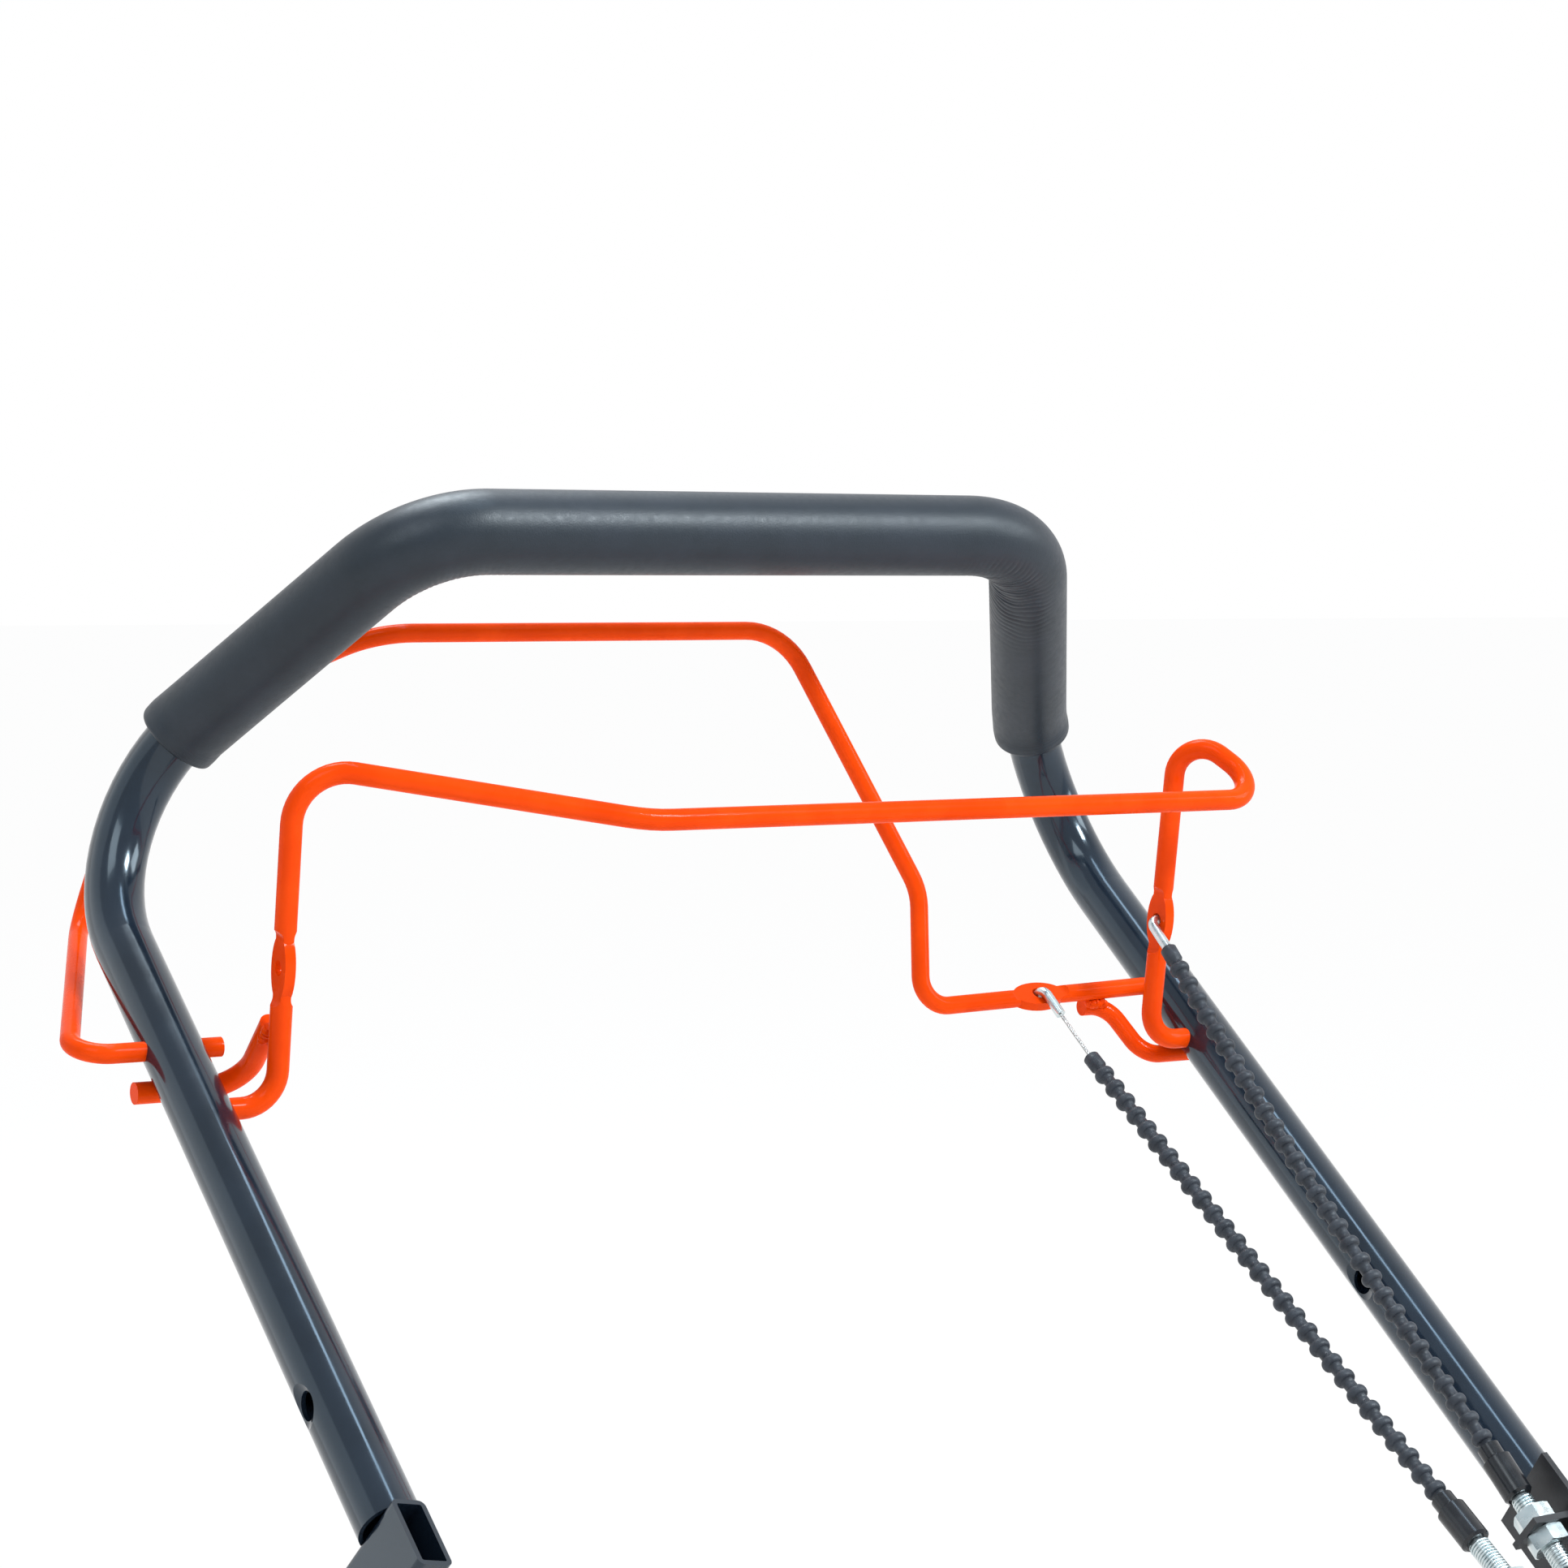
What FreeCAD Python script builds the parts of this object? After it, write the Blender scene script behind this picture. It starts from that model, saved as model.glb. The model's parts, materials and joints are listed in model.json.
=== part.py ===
import FreeCAD, Part
import math
import os

from FreeCAD import Vector

# Walk-behind mower handle: a bent steel tube with a foam grip, two sprung wire bails and their cables.
# Shapes are laid out in the plane of the legs, in millimetres: X across, Y up along the legs from the
# bolt holes, Z square to the legs towards the mower side. The whole handle is then tilted to its
# working slope, with the origin midway between the legs on the axis of their bolt holes.

# Handle tube
TILT = 36.0
TUBE_DIAMETER = 22.0
TUBE_WALL = 1.5
LEG_SPACING = 437.0
LEG_TOP = 296.0
LEFT_LEG_END = -54.0
RIGHT_LEG_END = -196.0
GRIP_WIDTH = 264.0
GRIP_RISE = 162.0
GRIP_SETBACK = 35.0
LEG_BEND = 57.0
GRIP_BEND = 46.0

# Bolt holes and the dimples pressed around them
BOLT_HOLE = 10.0
DIMPLE_RADIUS = 16.0
DIMPLE_DEPTH = 2.5

# Foam sleeve
FOAM_DIAMETER = 31.6
FOAM_GAP = 0.1
FOAM_OVER_LEFT_BEND = 11.0
FOAM_OVER_RIGHT_BEND = 18.0
FOAM_LIP = 2.0

# Bail pivots, measured along the legs from the bolt holes
FRONT_PIVOT = 139.0
REAR_PIVOT = 171.0
PIN_CLEARANCE = 0.05
PIN_INSET = 0.6
PIN_LEAD = 2.5
FRONT_PIN_DEPTH = 8.0

# Front bail
FRONT_WIRE = 8.0
FRONT_ARM_INSET = 28.5
FRONT_ARM_ANGLE = 62.5
FRONT_ARM_LENGTH = 123.0
FRONT_REACH = 38.0
FRONT_REACH_RISE = 0.5
FRONT_BAR_OUT = 25.0
FRONT_LOOP_RISE = 7.0
FRONT_KINK_INSET = 124.0
FRONT_EYE_HEIGHT = 50.0
FRONT_FOOT_BEND = 13.0
FRONT_LEFT_TOP_BEND = 19.0
FRONT_RIGHT_TOP_BEND = 12.0
FRONT_BAR_BEND = 13.0
FRONT_KINK_BEND = 60.0

# Rear bail
REAR_WIRE = 7.2
REAR_ANGLE = 40.0
REAR_LENGTH = 151.0
REAR_BAR_LEFT_INSET = 96.5
REAR_BAR_RIGHT_INSET = 163.5
REAR_FOOT_INSET = 121.5
REAR_KNEE_INSET = 115.5
REAR_KNEE_HEIGHT = 44.0
REAR_DROP = 3.0
REAR_LEFT_OUTSET = 38.5
REAR_SWEEP_INSETS = [11.5, 25.0, 65.0]
REAR_SWEEP_UP = [291.0, 313.5, 315.5]
REAR_SWEEP_OUT = [-45.0, -2.0, 49.0]
REAR_PIN_INSET = 18.5
REAR_EYE_INSET = 65.5
REAR_FOOT_BEND = 11.0
REAR_KNEE_BEND = 24.0
REAR_BAR_BEND = 26.0
REAR_SWEEP_BENDS = [38.0, 38.0, 18.0]

# Stops welded to the bails, which bear under the legs
STOP_GAP = 0.3
FRONT_STOP_OFFSET = 27.0
FRONT_STOP_HEIGHT = 28.0
FRONT_STOP_OVERLAP = 12.5
FRONT_STOP_BEND = 16.0
REAR_STOP_OFFSET = 25.0
REAR_STOP_INSET = 40.5
REAR_STOP_KNEE_INSET = 28.5
REAR_STOP_FOOT_INSET = 20.5
REAR_STOP_OVERLAP = 5.0
REAR_STOP_BEND = 11.0
WELD_WIDTH = 7.0
WELD_LENGTH = 9.0

# Flattened eyes in the bails
EYE_WIDTH = 12.5
EYE_LENGTH = 28.0
EYE_PLATE = 24.0
EYE_THICKNESS = 4.0
EYE_HOLE = 5.5
EYE_SHOULDER = 0.4

# Cables: hook, inner wire, ribbed boot, cap, threaded adjuster and lock nuts
HOOK_DIAMETER = 4.0
HOOK_PLAY = 1.3
HOOK_SHANK = 15.0
HOOK_BEND = 4.2
HOOK_POINT = 1.5
CABLE_WIRE = 1.5
CABLE_BORE = 2.4
CABLE_GAP = 0.3
BOOT_BEAD = 7.6
BOOT_VALLEY = 5.2
BOOT_COLLAR = 6.6
BOOT_COLLAR_LENGTH = 7.0
BOOT_PITCH = 8.2
BEAD_SHARE = 0.52
BEAD_SLOPE = 0.28
BEAD_STEP = 0.01
CAP_DIAMETER = 11.0
CAP_LENGTH = 22.0
CAP_NECK = 8.4
CAP_NECK_LENGTH = 5.0
CAP_FILLET = 1.0
THREAD_DIAMETER = 8.0
THREAD_TAIL = 16.0
NUT_FLATS = 13.0
NUT_HEIGHT = 6.5
NUT_CHAMFER = 0.8
THREAD_GAP = 0.05
CABLE_HEIGHT = 18.0
FRONT_CABLE_INSET = 26.0
REAR_CABLE_INSET = 60.5
FRONT_CAP_TOP = -100.0
REAR_CAP_TOP = -119.0
FRONT_BARE_WIRE = 0.8
REAR_BOOT_TOP = 132.5
REAR_BOOT_SAG = 0.5
WIRE_BEND = 40.0
FRONT_CAP_TO_TAB = 13.5
REAR_CAP_TO_TAB = 25.0

# Cable bracket on the right leg
SHEET = 2.5
TAB_EDGE = 8.0
FLANGE_TOP = -112.0
FLANGE_END = -193.0
FLANGE_LOW = -10.0
BRACKET_BOLT = 6.0
BRACKET_BOLT_PLACE = -181.0
BRACKET_BOLT_GAP = 0.15
BOLT_HEAD_FLATS = 10.0
BOLT_HEAD_HEIGHT = 4.0
BOLT_PROUD = 2.0

# Rectangular socket at the end of the left leg
SOCKET_WIDTH = 13.0
SOCKET_DEPTH = 27.0
SOCKET_SHIFT = 1.5
SOCKET_TURN = 15.0
SOCKET_WALL = 1.8
SOCKET_CORNER = 2.5
SOCKET_RISE = 13.0
SOCKET_DROP = 52.0

tube_r = TUBE_DIAMETER / 2
leg_x = LEG_SPACING / 2
front_r = FRONT_WIRE / 2
rear_r = REAR_WIRE / 2
front_arm = leg_x - FRONT_ARM_INSET
front_cable_x = leg_x - FRONT_CABLE_INSET
rear_cable_x = leg_x - REAR_CABLE_INSET
X_AXIS = Vector(1, 0, 0)
Y_AXIS = Vector(0, 1, 0)
Z_AXIS = Vector(0, 0, 1)
PAST = 1.0


def tangent_path(points, bends):
    """Straight runs through the points, with a tangent arc of the given radius at each inner point."""
    edges = []
    start = points[0]
    for before, corner, after, radius in zip(points, points[1:], points[2:], bends):
        back = (before - corner).normalize()
        ahead = (after - corner).normalize()
        half = back.getAngle(ahead) / 2
        reach = radius / math.tan(half)
        first = corner + back * reach
        last = corner + ahead * reach
        middle = corner + (back + ahead).normalize() * (radius / math.sin(half) - radius)
        edges.append(Part.LineSegment(start, first).toShape())
        edges.append(Part.Arc(first, middle, last).toShape())
        start = last
    edges.append(Part.LineSegment(start, points[-1]).toShape())
    return Part.Wire(edges)


def swept(path, diameter):
    """A round rod along a path that starts on its first edge."""
    first = path.Edges[0]
    section = Part.Wire(Part.makeCircle(diameter / 2, first.valueAt(first.FirstParameter), first.tangentAt(first.FirstParameter)))
    solid = path.makePipeShell([section], True, False)
    expected = math.pi * diameter ** 2 / 4 * path.Length
    print(f"rod {diameter:.1f} mm: {path.Length:.0f} mm long, volume share {solid.Volume / expected:.4f}")
    return solid


def rod(points, bends, diameter):
    """A round rod bent along straight runs and tangent arcs."""
    return swept(tangent_path(points, bends), diameter)


def turned(profile, base, axis):
    """A solid of revolution from (distance along axis, radius) points, closed on the axis."""
    points = [Vector(radius, 0, along) for along, radius in profile]
    points = [Vector(0, 0, profile[0][0])] + points + [Vector(0, 0, profile[-1][0])]
    face = Part.Face(Part.makePolygon(points + points[:1]))
    solid = face.revolve(Vector(0, 0, 0), Z_AXIS, 360)
    solid = Part.Solid(solid.Shells[0]) if solid.ShapeType != "Solid" else solid
    solid.Placement = FreeCAD.Placement(base, FreeCAD.Rotation(Z_AXIS, axis))
    return solid


def drill(base, axis, diameter, length):
    return Part.makeCylinder(diameter / 2, length, base, axis)


def hex_prism(flats, height, base, axis, chamfer):
    """A hexagon across the given flats, with its corners turned off at both ends."""
    corners = [
        Vector(math.cos(math.radians(60 * k)), math.sin(math.radians(60 * k)), 0) * (flats / math.sqrt(3))
        for k in range(7)
    ]
    prism = Part.Face(Part.makePolygon(corners)).extrude(Vector(0, 0, height))
    tip = flats / math.sqrt(3)
    crown = turned(
        [(0, tip - chamfer), (chamfer * 0.6, tip + 0.1), (height - chamfer * 0.6, tip + 0.1), (height, tip - chamfer)],
        Vector(0, 0, 0), Z_AXIS)
    nut = prism.common(crown)
    nut.Placement = FreeCAD.Placement(base, FreeCAD.Rotation(Z_AXIS, axis))
    return nut


def swing(pivot, angle, distance, x):
    """A point at a distance from a bail's pivot axis, at an angle up from the legs."""
    turn = math.radians(angle)
    return Vector(x, pivot + distance * math.cos(turn), distance * math.sin(turn))


def flattened_eye(wire, diameter, centre, along, normal):
    """Presses a length of a bail's wire into a flat eye and drills it."""
    across = normal.cross(along).normalize()
    turn = FreeCAD.Placement(centre, FreeCAD.Rotation(along, across, normal, "XYZ"))
    half = EYE_LENGTH / 2
    for side in (1, -1):
        press = Part.makeBox(EYE_LENGTH, 2 * diameter, diameter)
        base = EYE_THICKNESS / 2 if side > 0 else -EYE_THICKNESS / 2 - diameter
        press.translate(Vector(-half, -diameter, base))
        press = press.makeFillet(diameter * EYE_SHOULDER, [
            edge for edge in press.Edges
            if abs(abs(edge.CenterOfMass.x) - half) < 1e-6 and abs(edge.CenterOfMass.z - side * EYE_THICKNESS / 2) < 1e-6
        ])
        press.Placement = turn
        wire = wire.cut(press)
    oval = Part.Ellipse(Vector(0, 0, -EYE_THICKNESS / 2), EYE_PLATE / 2, EYE_WIDTH / 2)
    plate = Part.Face(Part.Wire(oval.toShape())).extrude(Z_AXIS * EYE_THICKNESS)
    plate.Placement = turn
    hole = drill(Vector(0, 0, -EYE_THICKNESS), Z_AXIS, EYE_HOLE, 2 * EYE_THICKNESS)
    hole.Placement = turn
    return wire.fuse(plate).removeSplitter().cut(hole)


# Places that several pieces share
left_top = Vector(-leg_x, LEG_TOP, 0)
right_top = Vector(leg_x, LEG_TOP, 0)
left_grip = Vector(-GRIP_WIDTH / 2, LEG_TOP - GRIP_SETBACK, GRIP_RISE)
right_grip = Vector(GRIP_WIDTH / 2, LEG_TOP - GRIP_SETBACK, GRIP_RISE)
front_eye = swing(FRONT_PIVOT, FRONT_ARM_ANGLE, FRONT_EYE_HEIGHT, front_arm)
front_spare_eye = swing(FRONT_PIVOT, FRONT_ARM_ANGLE, FRONT_EYE_HEIGHT, -front_arm)
rear_eye_share = (REAR_EYE_INSET - tube_r) / (REAR_FOOT_INSET - tube_r)
rear_eye = swing(REAR_PIVOT, REAR_ANGLE, -REAR_DROP * rear_eye_share, leg_x - REAR_EYE_INSET)
tube_route = [Vector(-leg_x, LEFT_LEG_END, 0), left_top, left_grip, right_grip, right_top, Vector(leg_x, RIGHT_LEG_END, 0)]
tube_bends = [LEG_BEND, GRIP_BEND, GRIP_BEND, LEG_BEND]


def handle_tube():
    outside = rod(tube_route, tube_bends, TUBE_DIAMETER)
    inside = rod(tube_route, tube_bends, TUBE_DIAMETER - 2 * TUBE_WALL)
    for x in (-leg_x, leg_x):
        for side in (-1, 1):
            centre = Vector(x + side * (tube_r + DIMPLE_RADIUS - DIMPLE_DEPTH), 0, 0)
            outside = outside.cut(Part.makeSphere(DIMPLE_RADIUS, centre))
            inside = inside.cut(Part.makeSphere(DIMPLE_RADIUS + TUBE_WALL, centre))
    tube = outside.cut(inside)
    for x in (-leg_x, leg_x):
        for up, diameter in [(0, BOLT_HOLE), (REAR_PIVOT, REAR_WIRE + 2 * PIN_CLEARANCE)]:
            tube = tube.cut(drill(Vector(x - TUBE_DIAMETER, up, 0), X_AXIS, diameter, 2 * TUBE_DIAMETER))
        inward = X_AXIS * (-x / leg_x)
        tube = tube.cut(drill(Vector(x, FRONT_PIVOT, 0), inward, FRONT_WIRE + 2 * PIN_CLEARANCE, TUBE_DIAMETER))
    bolt_hole = BRACKET_BOLT + 2 * BRACKET_BOLT_GAP
    return tube.cut(drill(Vector(leg_x - TUBE_DIAMETER, BRACKET_BOLT_PLACE, 0), X_AXIS, bolt_hole, 2 * TUBE_DIAMETER))


def foam_path(left_reach, right_reach):
    """The part of the tube's own path that the foam covers, from a little way down each leg bend."""
    edges = tangent_path(tube_route, tube_bends).Edges[1:-1]
    first, last = edges[0], edges[-1]
    left_cut = first.getParameterByLength(first.Length - left_reach)
    right_cut = last.getParameterByLength(right_reach)
    edges[0] = first.Curve.toShape(left_cut, first.LastParameter)
    edges[-1] = last.Curve.toShape(last.FirstParameter, right_cut)
    return Part.Wire(edges)


def foam_grip():
    path = foam_path(FOAM_OVER_LEFT_BEND, FOAM_OVER_RIGHT_BEND)
    ends = [path.Edges[0].valueAt(path.Edges[0].FirstParameter), path.Edges[-1].valueAt(path.Edges[-1].LastParameter)]
    sleeve = swept(path, FOAM_DIAMETER)
    rims = [edge for edge in sleeve.Edges if isinstance(edge.Curve, Part.Circle)
            and min((edge.Curve.Center - end).Length for end in ends) < 1e-3]
    sleeve = sleeve.makeFillet(FOAM_LIP, rims)
    bore = swept(foam_path(FOAM_OVER_LEFT_BEND + PAST, FOAM_OVER_RIGHT_BEND + PAST), TUBE_DIAMETER + 2 * FOAM_GAP)
    return sleeve.cut(bore)


def front_bail_wire():
    pin_end = leg_x - tube_r + FRONT_PIN_DEPTH
    left_foot = Vector(-front_arm, FRONT_PIVOT, 0)
    right_foot = Vector(front_arm, FRONT_PIVOT, 0)
    top_left = swing(FRONT_PIVOT, FRONT_ARM_ANGLE, FRONT_ARM_LENGTH, -front_arm)
    top_right = swing(FRONT_PIVOT, FRONT_ARM_ANGLE, FRONT_ARM_LENGTH + FRONT_LOOP_RISE, front_arm)
    bar_right = Vector(front_arm + FRONT_BAR_OUT, top_left.y - FRONT_REACH, top_left.z + FRONT_REACH_RISE)
    bar_kink = Vector(FRONT_KINK_INSET - front_arm, bar_right.y, bar_right.z)
    route = [Vector(-pin_end, FRONT_PIVOT, 0), left_foot, top_left, bar_kink, bar_right, top_right, right_foot,
             Vector(pin_end, FRONT_PIVOT, 0)]
    bends = [FRONT_FOOT_BEND, FRONT_LEFT_TOP_BEND, FRONT_KINK_BEND, FRONT_BAR_BEND, FRONT_RIGHT_TOP_BEND, FRONT_FOOT_BEND]
    wire = rod(route, bends, FRONT_WIRE)
    along = (top_right - right_foot).normalize()
    wire = flattened_eye(wire, FRONT_WIRE, front_eye, along, X_AXIS)
    return flattened_eye(wire, FRONT_WIRE, front_spare_eye, along, X_AXIS)


def front_stop_route():
    under = -(tube_r + front_r + STOP_GAP)
    turn = math.radians(FRONT_ARM_ANGLE)
    beside = Vector(0, math.sin(turn), -math.cos(turn)) * (FRONT_WIRE + STOP_GAP)
    top = swing(FRONT_PIVOT, FRONT_ARM_ANGLE, FRONT_STOP_HEIGHT, -front_arm) + beside
    foot = Vector(-front_arm, FRONT_PIVOT + FRONT_STOP_OFFSET, under)
    return [top, foot, Vector(-leg_x - FRONT_STOP_OVERLAP, foot.y, under)]


def weld(centre, along, rods):
    """A bead that fills the groove between two rods lying side by side."""
    bead = Part.makeCylinder(WELD_WIDTH / 2, WELD_LENGTH, centre - along * (WELD_LENGTH / 2), along)
    bead = bead.makeFillet(WELD_WIDTH / 4, [edge for edge in bead.Edges if isinstance(edge.Curve, Part.Circle)])
    return bead.cut(rods)


def rear_bail_wire():
    right_end = Vector(leg_x + tube_r - PIN_INSET, REAR_PIVOT, 0)
    right_wall = Vector(leg_x - tube_r - PIN_LEAD, REAR_PIVOT, 0)
    foot = swing(REAR_PIVOT, REAR_ANGLE, -REAR_DROP, leg_x - REAR_FOOT_INSET)
    knee = swing(REAR_PIVOT, REAR_ANGLE, REAR_KNEE_HEIGHT, leg_x - REAR_KNEE_INSET)
    bar_right = swing(REAR_PIVOT, REAR_ANGLE, REAR_LENGTH, leg_x - REAR_BAR_RIGHT_INSET)
    bar_left = swing(REAR_PIVOT, REAR_ANGLE, REAR_LENGTH, REAR_BAR_LEFT_INSET - leg_x)
    sweep = [Vector(inset - leg_x, up, out) for inset, up, out in zip(REAR_SWEEP_INSETS, REAR_SWEEP_UP, REAR_SWEEP_OUT)]
    left_foot = Vector(-leg_x - REAR_LEFT_OUTSET, REAR_PIVOT, 0)
    left_end = Vector(REAR_PIN_INSET - leg_x, REAR_PIVOT, 0)
    route = [right_end, right_wall, foot, knee, bar_right, bar_left] + sweep[::-1] + [left_foot, left_end]
    bends = [REAR_BAR_BEND, REAR_FOOT_BEND, REAR_KNEE_BEND, REAR_BAR_BEND, REAR_BAR_BEND] + REAR_SWEEP_BENDS + [REAR_FOOT_BEND]
    wire = rod(route, bends, REAR_WIRE)
    along = (right_wall - foot).normalize()
    return flattened_eye(wire, REAR_WIRE, rear_eye, along, Z_AXIS)


def rear_stop_route():
    beside = rear_eye.z - REAR_WIRE - STOP_GAP
    under = -(tube_r + rear_r + STOP_GAP)
    foot_up = REAR_PIVOT - REAR_STOP_OFFSET
    return [Vector(leg_x - REAR_STOP_INSET, rear_eye.y, beside), Vector(leg_x - REAR_STOP_KNEE_INSET, rear_eye.y, beside),
            Vector(leg_x - REAR_STOP_FOOT_INSET, foot_up, under), Vector(leg_x + REAR_STOP_OVERLAP, foot_up, under)]


def hook(eye, normal, corner, towards):
    """A bent hook: one end through the eye, the other pointing down the cable."""
    point = eye - normal * (EYE_THICKNESS / 2 + HOOK_POINT)
    return rod([point, corner, corner + towards * HOOK_SHANK], [HOOK_BEND], HOOK_DIAMETER)


def boot(start, end):
    """A ribbed rubber boot: a plain collar, then evenly spaced beads."""
    towards = (end - start).normalize()
    length = (end - start).Length
    count = int((length - BOOT_COLLAR_LENGTH) / BOOT_PITCH)
    pitch = (length - BOOT_COLLAR_LENGTH) / count
    swell = pitch * BEAD_SHARE
    bead, valley = BOOT_BEAD / 2, BOOT_VALLEY / 2
    profile = [(0, BOOT_COLLAR / 2), (BOOT_COLLAR_LENGTH, BOOT_COLLAR / 2)]
    for k in range(count):
        base = BOOT_COLLAR_LENGTH + k * pitch
        rise = base + pitch - swell
        profile += [(base + BEAD_STEP, valley), (rise, valley), (rise + swell * BEAD_SLOPE, bead),
                    (base + pitch - swell * BEAD_SLOPE, bead), (base + pitch, valley)]
    return turned(profile, start, towards).cut(drill(start - towards * PAST, towards, CABLE_BORE, length + 2 * PAST))


def cap(top, towards):
    body = turned([(0, CAP_NECK / 2), (CAP_NECK_LENGTH, CAP_NECK / 2), (CAP_NECK_LENGTH + CAP_FILLET, CAP_DIAMETER / 2),
                   (CAP_LENGTH - CAP_FILLET, CAP_DIAMETER / 2), (CAP_LENGTH, CAP_DIAMETER / 2 - CAP_FILLET)], top, towards)
    return body.cut(drill(top - towards * PAST, towards, CABLE_BORE, CAP_LENGTH + 2 * PAST))


def adjuster(top, towards, cap_to_tab):
    start = top + towards * CAP_LENGTH
    length = cap_to_tab + SHEET + THREAD_TAIL
    stud = Part.makeCylinder(THREAD_DIAMETER / 2, length, start, towards)
    return stud.cut(drill(start - towards * PAST, towards, CABLE_BORE, length + 2 * PAST))


def lock_nut(top, towards, offset):
    base = top + towards * (CAP_LENGTH + offset)
    nut = hex_prism(NUT_FLATS, NUT_HEIGHT, base, towards, NUT_CHAMFER)
    return nut.cut(drill(base - towards * PAST, towards, THREAD_DIAMETER + 2 * THREAD_GAP, NUT_HEIGHT + 2 * PAST))


def tab(top, towards, cap_to_tab):
    """One bracket tab, square to its cable, between the two lock nuts."""
    centre = top + towards * (CAP_LENGTH + cap_to_tab)
    reach = leg_x - tube_r - SHEET - top.x
    plate = Part.makeBox(TAB_EDGE + reach + SHEET / 2, 2 * TAB_EDGE, SHEET)
    plate.translate(Vector(-TAB_EDGE, -TAB_EDGE, 0))
    hole = drill(Vector(0, 0, -PAST), Z_AXIS, THREAD_DIAMETER + 4 * THREAD_GAP, SHEET + 2 * PAST)
    plate = plate.cut(hole)
    plate.Placement = FreeCAD.Placement(centre, FreeCAD.Rotation(X_AXIS, Vector(0, 0, 0), towards, "ZXY"))
    return plate


def cable_bracket():
    face = leg_x - tube_r
    flange = Part.makeBox(SHEET, FLANGE_TOP - FLANGE_END, CABLE_HEIGHT + TAB_EDGE - FLANGE_LOW,
                          Vector(face - SHEET, FLANGE_END, FLANGE_LOW))
    bracket = flange.fuse([tab(front_cap_top, front_towards, FRONT_CAP_TO_TAB), tab(rear_cap_top, rear_towards, REAR_CAP_TO_TAB)])
    bolt_hole = drill(Vector(face - 2 * SHEET, BRACKET_BOLT_PLACE, 0), X_AXIS, BRACKET_BOLT + 2 * BRACKET_BOLT_GAP, 3 * SHEET)
    return bracket.removeSplitter().cut(bolt_hole)


def bracket_bolt():
    head = Vector(leg_x - tube_r - SHEET - BOLT_HEAD_HEIGHT, BRACKET_BOLT_PLACE, 0)
    length = BOLT_HEAD_HEIGHT + SHEET + TUBE_DIAMETER + NUT_HEIGHT + BOLT_PROUD
    shank = Part.makeCylinder(BRACKET_BOLT / 2, length, head, X_AXIS)
    return hex_prism(BOLT_HEAD_FLATS, BOLT_HEAD_HEIGHT, head, X_AXIS, NUT_CHAMFER).fuse(shank).removeSplitter()


def bracket_nut():
    base = Vector(leg_x + tube_r, BRACKET_BOLT_PLACE, 0)
    nut = hex_prism(BOLT_HEAD_FLATS, NUT_HEIGHT, base, X_AXIS, NUT_CHAMFER)
    return nut.cut(drill(base - X_AXIS * PAST, X_AXIS, BRACKET_BOLT + 2 * THREAD_GAP, NUT_HEIGHT + 2 * PAST))


def leg_socket():
    """A rectangular tube across the end of the left leg, its foot turned a little outwards."""
    def block(inset, extra):
        solid = Part.makeBox(SOCKET_WIDTH - 2 * inset, SOCKET_DEPTH - 2 * inset, SOCKET_RISE + SOCKET_DROP + 2 * extra)
        edges = [edge for edge in solid.Edges if abs(edge.tangentAt(edge.FirstParameter).z) > 0.5]
        solid = solid.makeFillet(SOCKET_CORNER - inset, edges)
        solid.translate(Vector(-leg_x - SOCKET_SHIFT - SOCKET_WIDTH / 2 + inset, LEFT_LEG_END - SOCKET_DEPTH + inset,
                               -SOCKET_DROP - extra))
        solid.rotate(Vector(-leg_x, 0, 0), Y_AXIS, SOCKET_TURN)
        return solid
    return block(0, 0).cut(block(SOCKET_WALL, PAST))


def cable(name, eye, normal, corner, boot_top, cap_top, cap_to_tab):
    """All the pieces of one cable, hung between a bail's eye and its bracket tab."""
    pull = (boot_top - corner).normalize()
    towards = (cap_top - boot_top).normalize()
    start = corner + pull * (HOOK_SHANK + CABLE_GAP)
    tail = cap_top + towards * (CAP_LENGTH + cap_to_tab + SHEET + THREAD_TAIL)
    bent = pull.getAngle(towards) > math.radians(1)
    return {
        f"{name}_cable_hook": hook(eye, normal, corner, pull),
        f"{name}_cable_wire": rod([start, boot_top, tail] if bent else [start, tail], [WIRE_BEND], CABLE_WIRE),
        f"{name}_cable_boot": boot(boot_top, cap_top),
        f"{name}_cable_cap": cap(cap_top, towards),
        f"{name}_cable_adjuster": adjuster(cap_top, towards, cap_to_tab),
        f"{name}_upper_nut": lock_nut(cap_top, towards, cap_to_tab - NUT_HEIGHT),
        f"{name}_lower_nut": lock_nut(cap_top, towards, cap_to_tab + SHEET),
    }


# The front cable runs straight from its hook; the rear one sags to its boot
hook_clear = EYE_THICKNESS / 2 + HOOK_DIAMETER / 2 + HOOK_PLAY
front_corner = front_eye - X_AXIS * hook_clear
rear_corner = rear_eye + Z_AXIS * hook_clear
front_cap_top = Vector(front_cable_x, FRONT_CAP_TOP, CABLE_HEIGHT)
rear_cap_top = Vector(rear_cable_x, REAR_CAP_TOP, CABLE_HEIGHT)
front_towards = (front_cap_top - front_corner).normalize()
front_boot_top = front_corner + front_towards * (HOOK_SHANK + FRONT_BARE_WIRE)
rear_boot_top = Vector(rear_cable_x, REAR_BOOT_TOP, -REAR_BOOT_SAG)
rear_towards = (rear_cap_top - rear_boot_top).normalize()

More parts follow.
